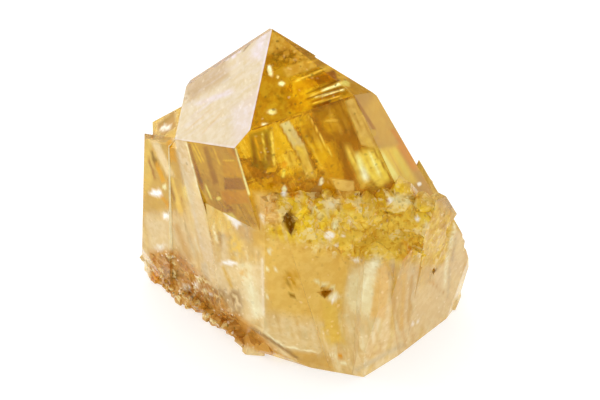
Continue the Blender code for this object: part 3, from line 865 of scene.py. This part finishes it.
def attach(data, name, kind, field, *columns):
    """Stores columns of numbers on the face corners, where the material finds them by name."""
    made = data.attributes.new(name, kind, "CORNER")
    made.data.foreach_set(field, np.column_stack(columns).ravel())


def crystal(frame):
    """The visible crystal, painted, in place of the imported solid."""
    points, triangles, names = fine_net(frame)
    normals, _ = flat_faces(points, triangles)
    points = raised(points, triangles)
    data = bpy.data.meshes.new("citrine_crystal")
    data.from_pydata(points * MM, [], triangles)
    data.set_sharp_from_angle(angle=math.radians(SHARP_TURN))
    p = Paint(points, triangles, normals, names)
    paint_body(p)
    paint_tip(p)
    paint_prism(p)
    paint_ground(p)
    attach(data, "shade", "FLOAT_COLOR", "color", p.colour, np.ones(len(p.at)))
    attach(data, "surface", "FLOAT_VECTOR", "vector", p.clear, p.rough, p.crackle)
    attach(data, "detail", "FLOAT_VECTOR", "vector", p.frost, p.light, p.dark)
    made = bpy.data.objects.new("citrine_crystal", data)
    scene.collection.objects.link(made)
    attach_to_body(made, "root")
    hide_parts(NODE)
    return made


def feed(tree, node, inputs):
    """Gives a node's inputs, by name or number, constants or other nodes' outputs."""
    for name, value in inputs.items():
        if isinstance(value, bpy.types.NodeSocket):
            tree.links.new(value, node.inputs[name])
        else:
            node.inputs[name].default_value = value


def add_node(tree, kind, inputs, **settings):
    """The outputs of a new node with these inputs and settings."""
    made = tree.nodes.new("ShaderNode" + kind)
    for name, value in settings.items():
        setattr(made, name, value)
    feed(tree, made, inputs)
    return made.outputs


def math_node(tree, kind, first, second=0.0):
    return add_node(tree, "Math", {0: first, 1: second}, operation=kind)[0]


def vector_node(tree, kind, first, second):
    """A Vector Math node of two vectors, or for SCALE of a vector and a number."""
    inputs = {0: first, "Scale" if kind == "SCALE" else 1: second}
    outputs = add_node(tree, "VectorMath", inputs, operation=kind)
    return outputs["Value" if kind == "DOT_PRODUCT" else "Vector"]


def step_node(tree, value, low, high, to_low=0.0, to_high=1.0):
    """A smooth step of a value from one range to another."""
    inputs = {
        "Value": value, "From Min": low, "From Max": high, "To Min": to_low, "To Max": to_high
    }
    return add_node(tree, "MapRange", inputs, interpolation_type="SMOOTHSTEP")[0]


def blend_node(tree, share, first, second):
    """A mix of two colours, which are a Mix node's inputs 6 and 7 and its output 2."""
    return add_node(tree, "Mix", {0: share, 6: first, 7: second}, data_type="RGBA")[2]


def split_node(tree, kind, whole):
    """The three parts of a vector (kind XYZ) or of a colour (kind Color)."""
    return add_node(tree, "Separate" + kind, {0: whole})


def cells(tree, at, size):
    """Voronoi cells of a size in metres: the distance to the middle and a random colour."""
    outputs = add_node(tree, "TexVoronoi", {"Vector": at, "Scale": 1 / size})
    return outputs["Distance"], outputs["Color"]


def waves(tree, at, size, detail, output="Fac"):
    """Noise of a size in metres, as a value or a colour."""
    inputs = {"Vector": at, "Scale": 1 / size, "Detail": detail, "Roughness": 0.6}
    return add_node(tree, "TexNoise", inputs)[output]


def bent(tree, at, size, detail, reach):
    """Places shifted by noise, so that cells get bent sides."""
    shift = vector_node(tree, "SCALE", waves(tree, at, size, detail, "Color"), reach)
    return vector_node(tree, "ADD", at, shift)


# Sizes below are in metres. Broken ground has coarse and fine cells, whose sides bend this far.
COARSE_CELL = 1.7 * MM
FINE_CELL = 0.6 * MM
BEND = 1.6 * MM
BEND_SIZE = 1.5 * MM
# Cells are tinted from this much crackle on. Low chances darken them and high ones brighten them:
# from and to which chance, and from what share to what.
CRACKLED = (0.1, 0.3)
DARK_CHANCE = (0.75, 0.3, 0.0, 0.85)
DARK_TINT = (0.74, 0.54, 0.22)
BRIGHT_CHANCE = (1.2, 1.75, 0.0, 0.9)
BRIGHT = (1.0, 0.86, 0.42, 1)
# The haze and the bump of frost.
HAZE_SIZE = 1.1 * MM
HAZE_STEP = (0.62, 0.4)
HAZE_TINT = (0.8, 0.66, 0.4)
BUMP_SIZE = 0.7 * MM
BUMP_HEIGHT = 0.12 * MM
BUMP_STRENGTH = 0.6
# Specks: the cell that holds one at most, its edge by the distance from the middle, how rare the
# light and the dark ones are, their colours, and how far dark ones are moved and stop the light.
# The light specks are painted glints.
SPECK_CELL = 0.8 * MM
SPECK_EDGE = (0.34, 0.2)
GLINT_RARE = (0.8, 0.82)
DARK_RARE = (0.65, 0.67)
GLINT_SPECK = (1.0, 0.95, 0.8, 1)
DARK_SPECK = (0.16, 0.1, 0.015, 1)
DARK_MOVED = (0.3, 0.1, 0.2)
DARK_SOLID = 0.4
# Quartz: its refraction, its gloss, and the gold that its depth gives to the light.
QUARTZ_IOR = 1.544
GLOSS = 0.3
GLOSS_TINT = (1.0, 0.75, 0.12, 1)
DEPTH_COLOUR = (0.97, 0.9, 0.2, 1)
DEPTH_DENSITY = 100


def specks(tree, at, rare, amount):
    """Small spots, one in some of the cells, as a mask times an amount."""
    places = bent(tree, at, size=2 * SPECK_CELL, detail=1.0, reach=1.5 * SPECK_CELL)
    distance, chance = cells(tree, places, SPECK_CELL)
    inside = step_node(tree, distance, *SPECK_EDGE)
    chosen = step_node(tree, split_node(tree, "Color", chance)[0], *rare)
    return math_node(tree, "MULTIPLY", math_node(tree, "MULTIPLY", inside, chosen), amount)


def broken_normal(tree, at, coarse, fine, crackle, frost):
    """Every cell of broken ground tilts its own way, and frost roughens it."""
    middle = vector_node(tree, "SUBTRACT", vector_node(tree, "ADD", coarse, fine), (1.0, 1.0, 1.0))
    normal = add_node(tree, "NewGeometry", {})["Normal"]
    tilted = vector_node(tree, "ADD", normal, vector_node(tree, "SCALE", middle, crackle))
    inputs = {
        "Strength": math_node(tree, "MULTIPLY", frost, BUMP_STRENGTH),
        "Distance": BUMP_HEIGHT,
        "Height": waves(tree, at, BUMP_SIZE, detail=4.0),
        "Normal": add_node(tree, "VectorMath", {0: tilted}, operation="NORMALIZE")["Vector"],
    }
    return add_node(tree, "Bump", inputs)[0]


def hazy(tree, at, colour, frost):
    """A colour with a fine, deeper haze where there is frost."""
    deeper = vector_node(tree, "MULTIPLY", colour, HAZE_TINT)
    haze = step_node(tree, waves(tree, at, HAZE_SIZE, detail=6.0), *HAZE_STEP)
    return blend_node(tree, math_node(tree, "MULTIPLY", haze, frost), colour, deeper)


def broken_colour(tree, colour, coarse, fine, crackle):
    """A colour with dark and bright cells where the ground is broken."""
    broken = step_node(tree, crackle, *CRACKLED)
    chances = split_node(tree, "Color", coarse)[0], split_node(tree, "Color", fine)[1]
    chance = math_node(tree, "ADD", *chances)
    dark = math_node(tree, "MULTIPLY", step_node(tree, chance, *DARK_CHANCE), broken)
    bright = math_node(tree, "MULTIPLY", step_node(tree, chance, *BRIGHT_CHANCE), broken)
    darker = vector_node(tree, "MULTIPLY", colour, DARK_TINT)
    return blend_node(tree, bright, blend_node(tree, dark, colour, darker), BRIGHT)


def crystal_material():
    """Clear quartz, in the colours and with the clearness that the face corners carry."""
    made = bpy.data.materials.new("citrine_crystal")
    made.use_nodes = True
    tree = made.node_tree
    shade, surface, detail = (
        add_node(tree, "Attribute", {}, attribute_name=name) for name in ("shade", "surface", "detail")
    )
    clear, rough, crackle = split_node(tree, "XYZ", surface["Vector"])
    frost, glint_amount, dark_amount = split_node(tree, "XYZ", detail["Vector"])
    at = add_node(tree, "TexCoord", {})["Object"]
    places = bent(tree, at, size=BEND_SIZE, detail=2.0, reach=BEND)
    _, coarse = cells(tree, places, COARSE_CELL)
    _, fine = cells(tree, places, FINE_CELL)
    normal = broken_normal(tree, at, coarse, fine, crackle, frost)
    colour = hazy(tree, at, shade["Color"], frost)
    colour = broken_colour(tree, colour, coarse, fine, crackle)
    # Painted glints: the light specks, white in the colour.
    light = specks(tree, at, GLINT_RARE, glint_amount)
    dark = specks(tree, vector_node(tree, "ADD", at, DARK_MOVED), DARK_RARE, dark_amount)
    colour = blend_node(tree, dark, colour, DARK_SPECK)
    colour = blend_node(tree, light, colour, GLINT_SPECK)
    # Specks stop the light that the crystal lets through.
    solid = math_node(tree, "MAXIMUM", light, math_node(tree, "MULTIPLY", dark, DARK_SOLID))
    see = math_node(tree, "MULTIPLY", clear, math_node(tree, "SUBTRACT", 1.0, solid))
    inputs = {
        "Normal": normal,
        "Base Color": colour,
        "Transmission Weight": see,
        "Roughness": rough,
        "IOR": QUARTZ_IOR,
        "Specular IOR Level": GLOSS,
        "Specular Tint": GLOSS_TINT,
    }
    feed(tree, tree.nodes["Principled BSDF"], inputs)
    depth = {"Color": DEPTH_COLOUR, "Density": DEPTH_DENSITY}
    absorption = add_node(tree, "VolumeAbsorption", depth)[0]
    feed(tree, tree.nodes["Material Output"], {"Volume": absorption})
    return made


# The stage, in metres: white paper that glows faintly, as a light table does.
REACH = 3
FLOOR_DROP = 0.05 * MM
PAPER = (0.5, 0.5, 0.5, 1)
PAPER_GLOW = 0.6
# The white room's light: from and to which part of the direction it changes, and from what level
# to what. It rises towards the back and the sides and, where it is low, towards the front.
BACK_LIGHT = (-0.3, 0.5, 0.55, 1.8)
SIDE_LIGHT = (0.35, 0.9, 0.0, 0.2)
NEAR_LIGHT = (0.0, -0.6, 0.0, 0.4)
LOW = (0.72, 0.4)
# Behind on the right a dark card, mirrored by the narrow face of the tip, takes the light away.
CARD_TOWARDS = (0.4, 0.9, 0.17)
CARD_LIGHT = (0.98, 0.9, 0.05, 1.0)
# A square soft box on the left.
BOX_AT = (-0.46, 0.138, 0.17)
BOX_TO = (0, 0, 0.03)
BOX_SIZE = 0.25
BOX_POWER = 0.5
NEAREST_SEEN = 0.01
BOUNCES = 24


def floor():
    corners = [(-REACH, -REACH, 0), (REACH, -REACH, 0), (REACH, REACH, 0), (-REACH, REACH, 0)]
    data = bpy.data.meshes.new("floor")
    data.from_pydata(corners, [], [(0, 1, 2, 3)])
    made = bpy.data.objects.new("floor", data)
    made.location.z = -FLOOR_DROP
    scene.collection.objects.link(made)
    paper = bpy.data.materials.new("paper")
    paper.use_nodes = True
    inputs = {
        "Base Color": PAPER,
        "Roughness": 0.9,
        "Specular IOR Level": 0,
        "Emission Color": (1, 1, 1, 1),
        "Emission Strength": PAPER_GLOW,
    }
    feed(paper.node_tree, paper.node_tree.nodes["Principled BSDF"], inputs)
    data.materials.append(paper)


def room():
    """A white room all round, brighter behind the crystal."""
    world = bpy.data.worlds.new("studio")
    scene.world = world
    world.use_nodes = True
    tree = world.node_tree
    way = add_node(tree, "TexCoord", {})["Generated"]
    across, ahead, up = split_node(tree, "XYZ", way)
    back = step_node(tree, ahead, *BACK_LIGHT)
    side = step_node(tree, math_node(tree, "ABSOLUTE", across), *SIDE_LIGHT)
    near = step_node(tree, ahead, *NEAR_LIGHT)
    near = math_node(tree, "MULTIPLY", near, step_node(tree, up, *LOW))
    level = math_node(tree, "ADD", math_node(tree, "ADD", back, side), near)
    card = step_node(tree, vector_node(tree, "DOT_PRODUCT", way, CARD_TOWARDS), *CARD_LIGHT)
    level = math_node(tree, "MULTIPLY", level, card)
    feed(tree, tree.nodes["Background"], {"Color": (1, 1, 1, 1), "Strength": level})


def look(made, at, to):
    """Puts a lamp or a camera at a place and points it at another."""
    made.location = at
    made.rotation_euler = (Vector(to) - Vector(at)).to_track_quat("-Z", "Y").to_euler()
    scene.collection.objects.link(made)


def soft_box():
    light = bpy.data.lights.new("left_box", "AREA")
    light.shape = "RECTANGLE"
    light.size = BOX_SIZE
    light.size_y = BOX_SIZE
    light.energy = BOX_POWER
    look(bpy.data.objects.new("left_box", light), BOX_AT, BOX_TO)


def camera():
    lens = bpy.data.cameras.new("camera")
    lens.lens = LENS
    lens.sensor_width = SENSOR
    lens.clip_start = NEAREST_SEEN
    made = bpy.data.objects.new("camera", lens)
    look(made, Vector(CAMERA_AT) * MM, Vector(CAMERA_TO) * MM)
    scene.camera = made


def main():
    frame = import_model()
    made = crystal(frame)
    made.data.materials.append(crystal_material())
    floor()
    room()
    soft_box()
    camera()
    scene.view_settings.view_transform = "Standard"
    scene.cycles.max_bounces = BOUNCES
    scene.cycles.transmission_bounces = BOUNCES


main()
